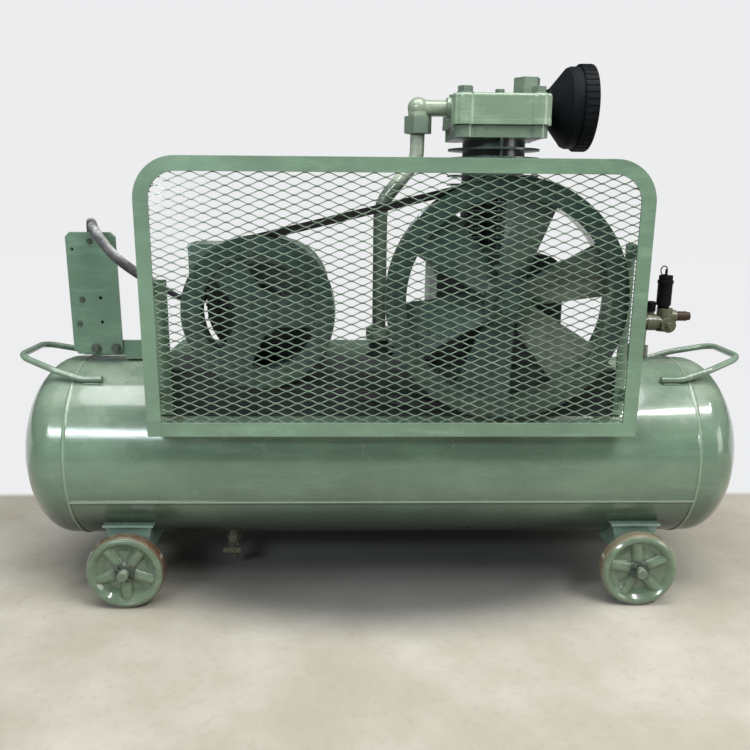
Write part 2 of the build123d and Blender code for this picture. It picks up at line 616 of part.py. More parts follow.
FINS = [FLANGE_TOP - 15 - 13 * step for step in range(11)]
with BuildPart() as cylinder:
    disc_z((CRANK_X, CYL_Y), CASE_TOP, PLATE_Z, BORE_R + 8)
    with BuildSketch(Plane.XY.offset(CASE_TOP)):
        with Locations((CRANK_X, CYL_Y)):
            RectangleRounded(124, 124, 14)
    extrude(amount=11)
    for z in FINS:
        disc_z((CRANK_X, CYL_Y), z - 1.5, z + 1.5, 70.5)
    with Locations((CRANK_X, CYL_Y - 56, (CASE_TOP + FLANGE_TOP) / 2)):
        Box(4, 24, FLANGE_TOP - CASE_TOP - 2)
    with BuildSketch(Plane.XY.offset(FLANGE_TOP)):
        head_outline(15.5)
    extrude(amount=PLATE_Z - FLANGE_TOP)
    disc_z((CRANK_X, CYL_Y), CASE_TOP - 1, PLATE_Z + 1, BORE_R, mode=Mode.SUBTRACT)
    with Locations(*[(x, y, PLATE_Z) for x, y in HEAD_BOLTS]):
        Hole(6.05, depth=PLATE_Z - FLANGE_TOP)
keep(cylinder, "cylinder")

with BuildPart() as valve_plate:
    with BuildSketch(Plane.XY.offset(PLATE_Z + 0.02)):
        head_outline(20.5)
        with Locations(*HEAD_BOLTS):
            Circle(6.05, mode=Mode.SUBTRACT)
        for side in (-1, 1):
            with Locations((CRANK_X + side * 20, CYL_Y)):
                with PolarLocations(9, 5):
                    Circle(3, mode=Mode.SUBTRACT)
    extrude(amount=HEAD_BOTTOM - PLATE_Z - 0.04)
keep(valve_plate, "valve_plate")

PORT_Z = 748
INTAKE_Z = 751
PLUG_X = 216
with BuildPart() as cylinder_head:
    with BuildSketch(Plane.XY.offset(HEAD_BOTTOM)):
        head_outline(20)
    extrude(amount=HEAD_TOP - HEAD_BOTTOM)
    fillet(cylinder_head.faces().sort_by(Axis.Z)[-1].edges(), 5)
    for side in (-1, 1):
        x0, x1 = sorted((CRANK_X + side * 6, CRANK_X + side * 44))
        block(x0, x1, CYL_Y - 46, CYL_Y + 46, HEAD_BOTTOM - 1, HEAD_TOP - 9, mode=Mode.SUBTRACT)
    disc_x((0, PORT_Z), CRANK_X - 76, CRANK_X - 40, 16)
    disc_x((0, PORT_Z), CRANK_X - 80, CRANK_X - 40, 10, mode=Mode.SUBTRACT)
    disc_x((CYL_Y, INTAKE_Z), CRANK_X + 60, CRANK_X + 78, 18.5)
    disc_x((CYL_Y, INTAKE_Z - 3), CRANK_X + 40, CRANK_X + 79, 12, mode=Mode.SUBTRACT)
    disc_z((PLUG_X, CYL_Y), HEAD_TOP - 3, HEAD_TOP + 5, 20.5)
    with Locations(*[(x, y, HEAD_TOP) for x, y in HEAD_BOLTS]):
        Hole(6.05, depth=HEAD_TOP - HEAD_BOTTOM)
keep(cylinder_head, "cylinder_head")

with BuildPart() as head_bolts:
    for x, y in HEAD_BOLTS:
        disc_z((x, y), FLANGE_TOP + 1, HEAD_TOP + 1, 6)
        disc_z((x, y), HEAD_TOP + 0.02, HEAD_TOP + 2, 12.5)
        hex_z((x, y), HEAD_TOP + 2, HEAD_TOP + 10, 20, turn=12)
    hex_z((PLUG_X, CYL_Y), HEAD_TOP + 5.02, HEAD_TOP + 29, 36, turn=8)
    hex_z((CRANK_X - 3, CYL_Y - 52), HEAD_TOP + 0.02, HEAD_TOP + 6, 12)
keep(head_bolts, "head_bolts")

# ---- discharge line -----------------------------------------------------------------------
ELBOW_X = 50
ELBOW_END_Z = 736
PIPE_R = 11
PIPE_END_Z = 392
with BuildPart() as discharge_elbow:
    disc_x((0, PORT_Z), ELBOW_X, CRANK_X - 42, 9.9)
    disc_x((0, PORT_Z), ELBOW_X, CRANK_X - 76.1, 12)
    with Locations((ELBOW_X, 0, PORT_Z)):
        Sphere(16)
    disc_z((ELBOW_X, 0), PORT_Z - 20, ELBOW_END_Z, 20, mode=Mode.SUBTRACT)
    disc_z((ELBOW_X, 0), ELBOW_END_Z, PORT_Z, 15)
    disc_z((ELBOW_X, 0), ELBOW_END_Z - 1, PORT_Z, 7, mode=Mode.SUBTRACT)
    disc_x((0, PORT_Z), ELBOW_X, CRANK_X - 41, 6, mode=Mode.SUBTRACT)
keep(discharge_elbow, "discharge_elbow")

with BuildPart() as discharge_pipe:
    tube([(ELBOW_X, 0, ELBOW_END_Z - 1), (ELBOW_X - 1, 0, 672), (CHECK_X + 1, 0, 606),
          (CHECK_X, 0, PIPE_END_Z)], [36, 60], PIPE_R)
keep(discharge_pipe, "discharge_pipe")

with BuildPart() as pipe_nuts:
    hex_z((ELBOW_X, 0), 711, ELBOW_END_Z - 0.05, 37, bore=PIPE_R + 0.6, turn=10)
    hex_z((CHECK_X, 0), 392.1, 411, 36, bore=PIPE_R + 0.6, turn=4)
keep(pipe_nuts, "pipe_nuts")

with BuildPart() as check_valve:
    disc_z((CHECK_X, 0), TANK_Z + TANK_R - 14, TANK_Z + TANK_R + 4, 11.98)
    disc_z((CHECK_X, 0), TANK_Z + TANK_R + 3.05, PIPE_END_Z - 0.05, 16)
    disc_z((CHECK_X, 0), TANK_Z + TANK_R - 15, PIPE_END_Z, 5, mode=Mode.SUBTRACT)
    disc_x((0, 380), CHECK_X + 12, CHECK_X + 26, 6)
keep(check_valve, "check_valve")

# ---- intake filter ------------------------------------------------------------------------
FILTER = (CYL_Y, INTAKE_Z)
with BuildPart() as intake_filter_body:
    with BuildSketch(Plane.XZ.offset(-CYL_Y)):
        with BuildLine():
            Polyline((247.1, INTAKE_Z + 14), (247.1, INTAKE_Z + 27), (251, INTAKE_Z + 29),
                     (275, INTAKE_Z + 58), (280, INTAKE_Z + 60), (291.9, INTAKE_Z + 60),
                     (291.9, INTAKE_Z + 57), (280, INTAKE_Z + 57), (254, INTAKE_Z + 25),
                     (252, INTAKE_Z + 14), close=True)
        make_face()
    revolve(axis=Axis((0, CYL_Y, INTAKE_Z), (1, 0, 0)))
keep(intake_filter_body, "intake_filter_body")

with BuildPart() as intake_filter_cover:
    disc_x(FILTER, 292, 312, 63, 59)
    disc_x(FILTER, 309, 313, 60)
    disc_x(FILTER, 312, 315, 44)
    with BuildSketch(Plane.YZ.offset(293)):
        with Locations(FILTER):
            with PolarLocations(62.6, 40):
                Rectangle(2.8, 3.2)
    extrude(amount=18)
    with BuildSketch(Plane.YZ.offset(305)):
        with Locations(FILTER):
            with PolarLocations(52, 18):
                Rectangle(8, 5)
    extrude(amount=12, mode=Mode.SUBTRACT)
keep(intake_filter_cover, "intake_filter_cover")

with BuildPart() as filter_element:
    disc_x(FILTER, 283, 307, 50, 30)
keep(filter_element, "filter_element")

# ---- outlet group -------------------------------------------------------------------------
PIPE_Z, COCK_X, COCK_Z, NOZZLE_Z = 421, 460, 418, 431
CAP_X, CAP_BOTTOM = 455, 444
with BuildPart() as outlet_manifold:
    disc_z((RISER_X, 0), TANK_Z + TANK_R - 14, TANK_Z + TANK_R + 4, 12.98)
    hex_z((RISER_X, 0), TANK_Z + TANK_R + 3.05, 382, 32)
    disc_z((RISER_X, 0), 380, PIPE_Z, 12.5)
    with Locations((RISER_X, 0, PIPE_Z)):
        Sphere(13.5)
    disc_x((0, PIPE_Z), RISER_X, COCK_X, 12)
    disc_x((0, PIPE_Z), RISER_X + 10, 443, 13.5)
    disc_z((CAP_X + 3, 0), COCK_Z - 11, CAP_BOTTOM, 12.5)
    disc_y((COCK_X, COCK_Z), -18, 12, 11.8)
    disc_x((0, NOZZLE_Z), COCK_X, COCK_X + 16, 10)
    disc_z((435, 0), PIPE_Z, 438.9, 6)
    disc_y((COCK_X, COCK_Z), -19, 2, 6 + FIT, mode=Mode.SUBTRACT)
    disc_x((0, NOZZLE_Z), COCK_X + 8, COCK_X + 17, 6.02, mode=Mode.SUBTRACT)
keep(outlet_manifold, "outlet_manifold")

with BuildPart() as outlet_port_cap:
    disc_z((435, 0), 439, 455, 7.5)
    chamfer(outlet_port_cap.edges().sort_by(Axis.Z)[-1], 1.5)
keep(outlet_port_cap, "outlet_port_cap")

with BuildPart() as outlet_cock_spindle:
    disc_y((COCK_X, COCK_Z), -19, 1, 6)
    hex_y((COCK_X, COCK_Z), -25, -18.5, 9)
keep(outlet_cock_spindle, "outlet_cock_spindle")

with BuildPart() as outlet_nozzle:
    disc_x((0, NOZZLE_Z), COCK_X + 8.1, COCK_X + 20, 6)
    disc_x((0, NOZZLE_Z), COCK_X + 16.1, 494, 7.8)
    disc_x((0, NOZZLE_Z), 494, 499, 6.6)
    disc_x((0, NOZZLE_Z), COCK_X + 5, 500, 3.2, mode=Mode.SUBTRACT)
keep(outlet_nozzle, "outlet_nozzle")

with BuildPart() as safety_valve_body:
    disc_z((CAP_X, 0), CAP_BOTTOM + 0.05, 449, 9)
    disc_z((CAP_X, 0), 449, 484, 11.4)
    disc_z((CAP_X, 0), 484, 489, 12.4)
    disc_z((CAP_X, 0), 489, 497, 10.8)
    disc_z((CAP_X, 0), 470, 498, 2.4, mode=Mode.SUBTRACT)
keep(safety_valve_body, "safety_valve_body")

with BuildPart() as safety_valve_ring:
    disc_z((CAP_X, 0), 472, 507, 2)
    with Locations(Pos(CAP_X - 4.5, -1, 505) * Rot(90, 25, 0)):
        Torus(7, 0.9)
keep(safety_valve_ring, "safety_valve_ring")


# ---- V-belt -------------------------------------------------------------------------------
def belt_path():
    """Closed path of the belt's mid depth round both pulleys."""
    r_motor = PULLEY_R - 1 - BELT_DEPTH / 2
    r_crank = FLYWHEEL_R - 1 - BELT_DEPTH / 2
    dx, dz = CRANK_X - MOTOR_X, CRANK_Z - MOTOR_Z
    span = hypot(dx, dz)
    tilt = degrees(acos(dx / span))
    lead = degrees(acos((r_motor - r_crank) / span))
    upper, lower = tilt + lead, tilt - lead

    with BuildLine(front(BELT_Y)) as loop:
        Line(polar(MOTOR, r_motor, upper), polar(CRANK, r_crank, upper))
        ThreePointArc(polar(CRANK, r_crank, upper), polar(CRANK, r_crank, tilt), polar(CRANK, r_crank, lower))
        Line(polar(CRANK, r_crank, lower), polar(MOTOR, r_motor, lower))
        ThreePointArc(polar(MOTOR, r_motor, lower), polar(MOTOR, r_motor, tilt + 180),
                      polar(MOTOR, r_motor, upper))
    return loop.line


with BuildPart() as v_belt:
    loop = belt_path()
    with BuildSketch(Plane(origin=loop @ 0, x_dir=(0, 1, 0), z_dir=loop % 0)):
        half_top = BELT_TOP / 2
        half_bottom = half_top - BELT_DEPTH * tan(radians(BELT_ANGLE))
        with BuildLine():
            Polyline((-half_top, BELT_DEPTH / 2), (half_top, BELT_DEPTH / 2),
                     (half_bottom, -BELT_DEPTH / 2), (-half_bottom, -BELT_DEPTH / 2), close=True)
        make_face()
    sweep(path=loop)
keep(v_belt, "v_belt")


# ---- belt guard ---------------------------------------------------------------------------
def guard_outline(inset, bottom):
    """Outline of the guard with two round upper corners, as a face in the sketch."""
    with BuildSketch(Plane.XY, mode=Mode.PRIVATE) as outline:
        with Locations(((GUARD_LEFT + GUARD_RIGHT) / 2, (GUARD_TOP - inset + bottom) / 2)):
            Rectangle(GUARD_RIGHT - GUARD_LEFT - 2 * inset, GUARD_TOP - inset - bottom)
        fillet(outline.vertices().group_by(Axis.Y)[-1], GUARD_CORNER - inset)
    return outline.sketch


with BuildPart() as guard_frame:
    for inset, y_back in ((GUARD_BAR, GUARD_FACE + GUARD_WALL), (GUARD_WALL, GUARD_FACE + GUARD_FLANGE)):
        with BuildSketch(front(y_back)):
            add(guard_outline(0, GUARD_BOTTOM))
            add(guard_outline(inset, GUARD_BOTTOM - 5), mode=Mode.SUBTRACT)
        extrude(amount=y_back - GUARD_FACE)
    x0, x1 = GUARD_LEFT + GUARD_BAR + 0.1, GUARD_RIGHT - GUARD_BAR - 0.1
    block(x0, x1, GUARD_FACE, GUARD_FACE + GUARD_WALL, GUARD_BOTTOM, GUARD_BOTTOM + GUARD_BAR)
    block(x0, x1, GUARD_FACE, GUARD_FACE + GUARD_FLANGE, GUARD_BOTTOM, GUARD_BOTTOM + GUARD_WALL)
keep(guard_frame, "guard_frame")

MESH_Y = GUARD_FACE + GUARD_WALL + 0.02
half_long = MESH_LONG / 2 - STRAND / 2 / sin(radians(21.5))
half_short = MESH_SHORT / 2 - STRAND / 2 / cos(radians(21.5))
mesh_edge = 6                     # the sheet ends this far inside the frame's outline
rim = 3                           # and its openings this far inside the sheet's edge


def in_sheet(x, z):
    """Whether a corner of an opening lies far enough inside the sheet."""
    over_x = max(abs(x - (GUARD_LEFT + GUARD_RIGHT) / 2) - (GUARD_RIGHT - GUARD_LEFT) / 2 + GUARD_CORNER, 0)
    over_z = max(z - GUARD_TOP + GUARD_CORNER, 0)
    return hypot(over_x, over_z) < GUARD_CORNER - mesh_edge - rim and z > GUARD_BOTTOM + mesh_edge + rim


openings = []
for row in range(1, int((GUARD_TOP - GUARD_BOTTOM) / MESH_SHORT * 2)):
    z = GUARD_BOTTOM + MESH_SHORT / 2 * row
    for column in range(13):
        x = GUARD_LEFT + MESH_LONG * (column + row % 2 / 2)
        corners = [(x - half_long, z), (x, z + half_short), (x + half_long, z), (x, z - half_short)]
        if all(in_sheet(*corner) for corner in corners):
            openings.append(Wire.make_polygon([(a, MESH_Y, b) for a, b in corners], close=True))
with BuildSketch(front(MESH_Y)) as sheet:
    add(guard_outline(mesh_edge, GUARD_BOTTOM + mesh_edge))
with BuildPart() as guard_mesh:
    perforated = Face(sheet.sketch.face().outer_wire(), openings)
    extrude(to_extrude=perforated, amount=SHEET, dir=(0, 1, 0))
keep(guard_mesh, "guard_mesh")

with BuildPart() as guard_stays:
    for inner, sign, top, width in ((GUARD_LEFT + GUARD_WALL, 1, 500, 22),
                                   (GUARD_RIGHT - GUARD_WALL, -1, 555, 14)):
        near, far = inner + sign * 0.05, inner + sign * 5
        block(*sorted((near, inner + sign * width)), -124, -BED_Y - 0.05, 300, top)
        for z in (322, top - 22):
            block(*sorted((near, far)), GUARD_FACE + 5.1, -122, z, z + 20)
            disc_x((GUARD_FACE + 16, z + 10), *sorted((far, far + sign * 6)), 6)
keep(guard_stays, "guard_stays")

# ---- switch plate, bracket, starter box and motor lead ------------------------------------
PLATE_HOLES = [(-480, 535), (-442, 460), (-442, 422)]
PLATE_SCREWS = [(-452, 548), (-470, 458), (-477, 420)]
PLATE_BOLTS = [(-454, 381), (-423, 381)]
with BuildPart() as switch_plate:
    with BuildSketch(front(PLATE_Y)) as face:
        with Locations(((PLATE_LEFT + PLATE_RIGHT) / 2, (PLATE_BOTTOM + PLATE_TOP) / 2)):
            Rectangle(PLATE_RIGHT - PLATE_LEFT, PLATE_TOP - PLATE_BOTTOM)
        chamfer(face.vertices(), 7)
        with Locations(*PLATE_HOLES, *PLATE_SCREWS):
            Circle(2.7, mode=Mode.SUBTRACT)
        with Locations(*PLATE_BOLTS):
            Circle(4.1, mode=Mode.SUBTRACT)
    extrude(amount=-PLATE_WALL)
keep(switch_plate, "switch_plate")

BAR_Y = PLATE_Y + PLATE_WALL + 0.02
with BuildPart() as plate_bracket:
    block(-476, -BED_X - 0.05, BAR_Y, BAR_Y + 6, 369, 392)
    block(-410, -BED_X - 0.05, BAR_Y, BAR_Y + 28, 362, 369)
    with BuildSketch(front(BAR_Y + 7)):
        with Locations(*PLATE_BOLTS):
            Circle(4.1)
    extrude(amount=8, mode=Mode.SUBTRACT)
    disc_x((0, TANK_Z), -480, -300, TANK_R + 0.03, mode=Mode.SUBTRACT)
keep(plate_bracket, "plate_bracket")

BOX_Y0, BOX_Y1 = BAR_Y + 8, 44
with BuildPart() as plate_fasteners:
    for x, z in PLATE_BOLTS:
        disc_y((x, z), PLATE_Y - 3, BAR_Y + 12, 4)
        disc_y((x, z), PLATE_Y - 2.4, PLATE_Y - 0.02, 7.5)
        hex_y((x, z), PLATE_Y - 8, PLATE_Y - 2.4, 11, turn=15)
        hex_y((x, z), BAR_Y + 6.02, BAR_Y + 12, 13)
    for x, z in PLATE_SCREWS:
        disc_y((x, z), PLATE_Y - 2.5, PLATE_Y - 0.02, 4)
        disc_y((x, z), PLATE_Y - 1, BOX_Y0 - 0.05, 2.6)
keep(plate_fasteners, "plate_fasteners")

SLEEVE_R, LEAD_R = 7.5, 4.5
with BuildPart() as starter_box:
    block(-487, -440, BOX_Y0, BOX_Y1, 412, 541)
    fillet(starter_box.edges().filter_by(Axis.Y), 6)
    disc_z((-462, 18), 541, 549, 11)
    disc_z((-462, 18), 535, 550, SLEEVE_R + 0.1, mode=Mode.SUBTRACT)
keep(starter_box, "starter_box")

SLEEVE_ROUTE = [(-462, 18, 536), (-462, 18, 577), (-436, -50, 565), (-408, -62, 531),
                (-381, -58, 507), (-353, -43, 486)]
LEAD_ROUTE = [(-353, -43, 486), (-325, -28, 465), (-304, -14, 452), (-284, -4, 452), (-284, -4, 474)]


def route_radii(points):
    """Largest tangent arc that the two runs beside each corner allow."""
    radii = []
    for before, corner, after in zip(points, points[1:], points[2:]):
        into, out = Vector(*corner) - Vector(*before), Vector(*after) - Vector(*corner)
        turn = radians(into.get_angle(out))
        radii.append(0.45 * min(into.length, out.length) / tan(turn / 2))
    print("lead radii", [round(radius, 1) for radius in radii])
    return radii


with BuildPart() as lead_sleeve:
    tube(SLEEVE_ROUTE, route_radii(SLEEVE_ROUTE), SLEEVE_R)
keep(lead_sleeve, "lead_sleeve")

with BuildPart() as motor_lead:
    tube(LEAD_ROUTE, route_radii(LEAD_ROUTE), LEAD_R)
keep(motor_lead, "motor_lead")
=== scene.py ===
"""Looks of the belt-driven air compressor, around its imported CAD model. Metres, +Z up, guard facing -Y."""
import json
import math

import bpy
from mathutils import Matrix, Vector


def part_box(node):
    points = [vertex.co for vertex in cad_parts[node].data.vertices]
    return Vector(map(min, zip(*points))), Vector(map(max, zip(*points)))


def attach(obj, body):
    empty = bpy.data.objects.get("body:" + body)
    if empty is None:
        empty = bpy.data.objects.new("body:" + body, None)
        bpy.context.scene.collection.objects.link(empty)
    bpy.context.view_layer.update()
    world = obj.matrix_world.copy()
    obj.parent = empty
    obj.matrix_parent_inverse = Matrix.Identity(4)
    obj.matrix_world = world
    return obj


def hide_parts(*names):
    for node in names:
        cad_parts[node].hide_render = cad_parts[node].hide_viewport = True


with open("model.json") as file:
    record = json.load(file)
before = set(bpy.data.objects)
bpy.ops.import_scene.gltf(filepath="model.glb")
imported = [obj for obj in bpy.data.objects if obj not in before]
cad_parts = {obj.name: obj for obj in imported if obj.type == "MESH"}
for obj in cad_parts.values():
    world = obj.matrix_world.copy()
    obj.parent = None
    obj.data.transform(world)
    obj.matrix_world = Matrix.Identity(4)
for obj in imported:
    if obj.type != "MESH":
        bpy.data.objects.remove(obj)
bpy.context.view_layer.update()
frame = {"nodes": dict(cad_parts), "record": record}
nodes = frame["nodes"]
scene = bpy.context.scene
scene.view_settings.view_transform = "Standard"


# ---- camera, stage and lights -------------------------------------------------------------
def aim(ob, target):
    """Turns a light towards a point."""
    ob.rotation_euler = (Vector(target) - ob.location).to_track_quat("-Z", "Y").to_euler()


SENSOR_MM, LENS_MM = 36, 36.4944
EYE = (-0.0445, -1.2151, 0.6240)
PITCH, YAW, ROLL = (math.radians(a) for a in (-13.54, 1.51, 0.45))
cam_data = bpy.data.cameras.new("camera")
cam_data.sensor_width = SENSOR_MM
cam_data.lens = LENS_MM
camera = bpy.data.objects.new("camera", cam_data)
scene.collection.objects.link(camera)
look = Vector((math.sin(YAW) * math.cos(PITCH), math.cos(YAW) * math.cos(PITCH), math.sin(PITCH)))
level = Vector((math.cos(YAW), -math.sin(YAW), 0))
raised = level.cross(look)
right = math.cos(ROLL) * level + math.sin(ROLL) * raised
up = math.cos(ROLL) * raised - math.sin(ROLL) * level
turn = Matrix((right, up, -look)).transposed().to_4x4()
camera.matrix_world = Matrix.Translation(EYE) @ turn
scene.camera = camera


def area_light(name, place, target, width, height, power, colour=(1, 1, 1)):
    data = bpy.data.lights.new(name, "AREA")
    data.shape = "RECTANGLE"
    data.size, data.size_y = width, height
    data.energy, data.color = power, colour
    ob = bpy.data.objects.new(name, data)
    ob.location = place
    aim(ob, target)
    scene.collection.objects.link(ob)
    return ob


area_light("key", (-1.5, -2.6, 1.75), (-0.2, 0, 0.3), 1.1, 0.2, 22, (0.86, 0.94, 1))
area_light("key_glow", (-1.5, -2.62, 1.75), (-0.2, 0, 0.3), 1.5, 0.62, 26, (0.84, 0.93, 1))
fill = area_light("fill", (1.6, -2.0, 2.9), (0.2, 0, 0.35), 1.8, 0.8, 36)
fill.visible_glossy = False       # the paint mirrors the narrow tubes instead
area_light("side", (2.3, -1.3, 0.75), (0.3, 0, 0.3), 0.9, 0.9, 9, (1, 0.99, 0.95))
area_light("top", (0.0, -0.5, 2.9), (0, 0, 0.3), 2.8, 1.4, 92)
for offset in (-0.22, 0, 0.22):
    area_light("tube%d" % (offset * 100), (1.75, -1.55 + offset, 2.75), (0.45, 0, 0.3),
               1.3, 0.03, 12)

world = bpy.data.worlds.new("studio")
scene.world = world
world.use_nodes = True
wt = world.node_tree
backdrop = wt.nodes["Background"]
BACKDROP = (0.845, 0.85, 0.86)
backdrop.inputs["Color"].default_value = (*BACKDROP, 1)
ambient = wt.nodes.new("ShaderNodeBackground")
ambient.inputs["Color"].default_value = (0.9, 0.95, 1, 1)
ambient.inputs["Strength"].default_value = 0.11
seen = wt.nodes.new("ShaderNodeLightPath")
share = wt.nodes.new("ShaderNodeMixShader")
wt.links.new(seen.outputs["Is Camera Ray"], share.inputs[0])
wt.links.new(ambient.outputs[0], share.inputs[1])
wt.links.new(backdrop.outputs[0], share.inputs[2])
wt.links.new(share.outputs[0], wt.nodes["World Output"].inputs["Surface"])


# ---- node helper --------------------------------------------------------------------------
def tinted(colour, factor, lift=0.0):
    """A lighter or darker version of a colour."""
    return tuple(min(1, c * factor + lift) for c in colour)


class Net:
    """A material and short ways to add nodes to it. Sockets are passed as values or as outputs."""

    def __init__(self, name):
        self.material = bpy.data.materials.new(name)
        self.material.use_nodes = True
        self.tree = self.material.node_tree
        self.shader = self.tree.nodes["Principled BSDF"]
        self.coord = self.tree.nodes.new("ShaderNodeTexCoord")
        self.place = self.coord.outputs["Object"]

    def put(self, socket, value):
        if isinstance(value, bpy.types.NodeSocket):
            self.tree.links.new(value, socket)
        elif isinstance(value, (tuple, list)) and len(value) == 3 and socket.type == "RGBA":
            socket.default_value = (*value, 1)
        else:
            socket.default_value = value

    def node(self, kind, values=(), **settings):
        n = self.tree.nodes.new("ShaderNode" + kind)
        for key, value in settings.items():
            setattr(n, key, value)
        for key, value in dict(values).items():
            self.put(n.inputs[key], value)
        return n

    def noise(self, scale, detail=4, rough=0.55, stretch=None):
        """Soft noise around 0.5, in waves per metre."""
        place = self.place
        if stretch:
            place = self.node("Mapping", {"Vector": place, "Scale": stretch}).outputs[0]
        return self.node("TexNoise", {"Vector": place, "Scale": scale, "Detail": detail,
                                      "Roughness": rough}).outputs[0]

    def spread(self, value, low, high, to_low=0.0, to_high=1.0):
        """Maps low..high to to_low..to_high, clamped and eased."""
        return self.node("MapRange", {0: value, 1: low, 2: high, 3: to_low, 4: to_high},
                         interpolation_type="SMOOTHSTEP").outputs[0]

    def math(self, operation, a, b=0.0):
        return self.node("Math", {0: a, 1: b}, operation=operation).outputs[0]

    def times(self, a, b):
        return self.math("MULTIPLY", a, b)

    def vector(self, operation, a, b=None):
        """A number for a length or a dot product, and else a vector."""
        n = self.node("VectorMath", {0: a} if b is None else {0: a, 1: b}, operation=operation)
        return n.outputs["Value" if operation in ("LENGTH", "DOT_PRODUCT") else "Vector"]

    def from_axis(self, middle):
        """The arm from a level axis along Y through middle, and its length."""
        arm = self.vector("MULTIPLY", self.vector("SUBTRACT", self.place, middle), (1, 0, 1))
        return arm, self.vector("LENGTH", arm)

    def mix(self, share, a, b):
        n = self.node("Mix", data_type="RGBA")
        self.put(n.inputs["Factor"], share)
        self.put(n.inputs[6], a)
        self.put(n.inputs[7], b)
        return n.outputs[2]

    def axis(self, name, source=None):
        return self.node("SeparateXYZ", {0: source or self.place}).outputs[name]

    def upward(self):
        """1 on faces that look up, in the piece's own frame."""
        return self.spread(self.axis("Z", self.coord.outputs["Normal"]), 0.2, 0.95)

    def bump(self, height, distance, strength=1.0, under=None):
        n = self.node("Bump", {"Height": height, "Distance": distance, "Strength": strength})
        if under is not None:
            self.put(n.inputs["Normal"], under)
        return n.outputs[0]

    def finish(self, **sockets):
        for key, value in sockets.items():
            self.put(self.shader.inputs[key.replace("_", " ")], value)
        return self.material


def rounded_edges(net, radius):
    """Softened normal of the edges, and a mask of where they are."""
    bevel = net.node("Bevel", {"Radius": radius}, samples=4).outputs[0]
    plain = net.node("NewGeometry").outputs["Normal"]
    straight = net.vector("DOT_PRODUCT", bevel, plain)
    return bevel, net.spread(straight, 0.995, 0.93)


def occlusion_shade(net, reach):
    """Painted shade mask: 1 in corners and gaps, 0 in the open."""
    open_share = net.node("AmbientOcclusion", {"Distance": reach}, samples=4).outputs["AO"]
    return net.spread(open_share, 0.75, 0.25)


def enamel(name, colour, rough=0.33, dust=0.25, corner_shade=0.5, edge_wear_and_light=0.35, chips=0.6,
           dust_colour=(0.46, 0.47, 0.38), extra=None, coat=0.35, mottle=0.75):
    """Old brushed-on enamel: mottled, dusty on top, darkened with painted shade in the corners, lighter on
    the edges from rubbing and from a painted highlight.

    extra(net, tone) adds the marks, painted highlights and painted shade of one piece under the dust and the
    edge marks.
    """
    net = Net(name)
    light = tinted(colour, 1.28, 0.012)
    dark = tinted(colour, 0.72)
    broad = net.noise(5.5, 5, 0.6)
    brushed = net.noise(38, 6, 0.65, (0.35, 1, 1.6))
    fine = net.noise(420, 3, 0.5)
    tone = net.mix(net.spread(broad, 0.32, 0.72), dark, colour)
    tone = net.mix(net.times(net.spread(brushed, 0.45, 0.8), mottle), tone, light)
    tone = net.mix(net.times(net.spread(fine, 0.5, 0.75), 0.18), tone, light)
    if extra:
        tone = extra(net, tone)
    bevel, edges = rounded_edges(net, 0.0009)
    corners = occlusion_shade(net, 0.03)
    # painted shade: the paint turns darker in corners and gaps
    tone = net.mix(net.times(corners, corner_shade), tone, tinted(colour, 0.28))
    settled = net.times(net.upward(), net.spread(net.noise(16, 5, 0.7), 0.35, 0.7))
    settled = net.times(settled, dust)
    tone = net.mix(settled, tone, dust_colour)
    # edges lightened partly by rubbing and partly as a painted highlight
    rubbed_and_lit_edges = net.times(edges, net.spread(net.noise(70, 5, 0.7), 0.42, 0.62))
    tone = net.mix(net.times(rubbed_and_lit_edges, edge_wear_and_light), tone, tinted(colour, 1.9, 0.05))
    chipped = net.times(net.spread(net.noise(155, 3, 0.75), 0.735, 0.75), chips)
    tone = net.mix(chipped, tone, (0.035, 0.026, 0.018))
    gloss = net.spread(net.noise(24, 5, 0.7), 0.3, 0.75, rough - 0.09, rough + 0.12)
    gloss = net.math("ADD", gloss, net.times(settled, 0.6))
    peel = net.math("ADD", net.times(fine, 0.3), net.times(brushed, 0.9))
    return net.finish(Base_Color=tone, Roughness=gloss, Normal=net.bump(peel, 0.0004, 0.35, bevel),
                      Coat_Weight=coat, Coat_Roughness=0.045)


def steel(name, colour, rough=0.35, metallic=1.0, stain=(0.12, 0.07, 0.04), stained=0.35,
          painted_at=None):
    """Machined or worn metal with fine tool marks, some staining, a painted highlight on the edges and, in
    front of a plane, paint.
    """
    net = Net(name)
    marks = net.noise(60, 5, 0.6, (1, 40, 1))
    blotch = net.spread(net.noise(45, 6, 0.7), 0.5, 0.75)
    tone = net.mix(net.spread(marks, 0.3, 0.7), tinted(colour, 0.7), colour)
    tone = net.mix(net.times(blotch, stained), tone, stain)
    bevel, edges = rounded_edges(net, 0.0006)
    # painted highlight: the edges are tinted lighter
    tone = net.mix(net.times(edges, 0.3), tone, tinted(colour, 1.4))
    if painted_at is not None:
        bare = net.spread(net.axis("Y"), painted_at, painted_at + 0.001)
        tone = net.mix(bare, net.mix(blotch, SHADED_DARK_GREEN, (0.02, 0.035, 0.028)), tone)
        metallic = bare
    return net.finish(Base_Color=tone, Metallic=metallic, Normal=net.bump(marks, 0.0002, 0.3, bevel),
                      Roughness=net.spread(marks, 0.2, 0.8, rough - 0.1, rough + 0.15))


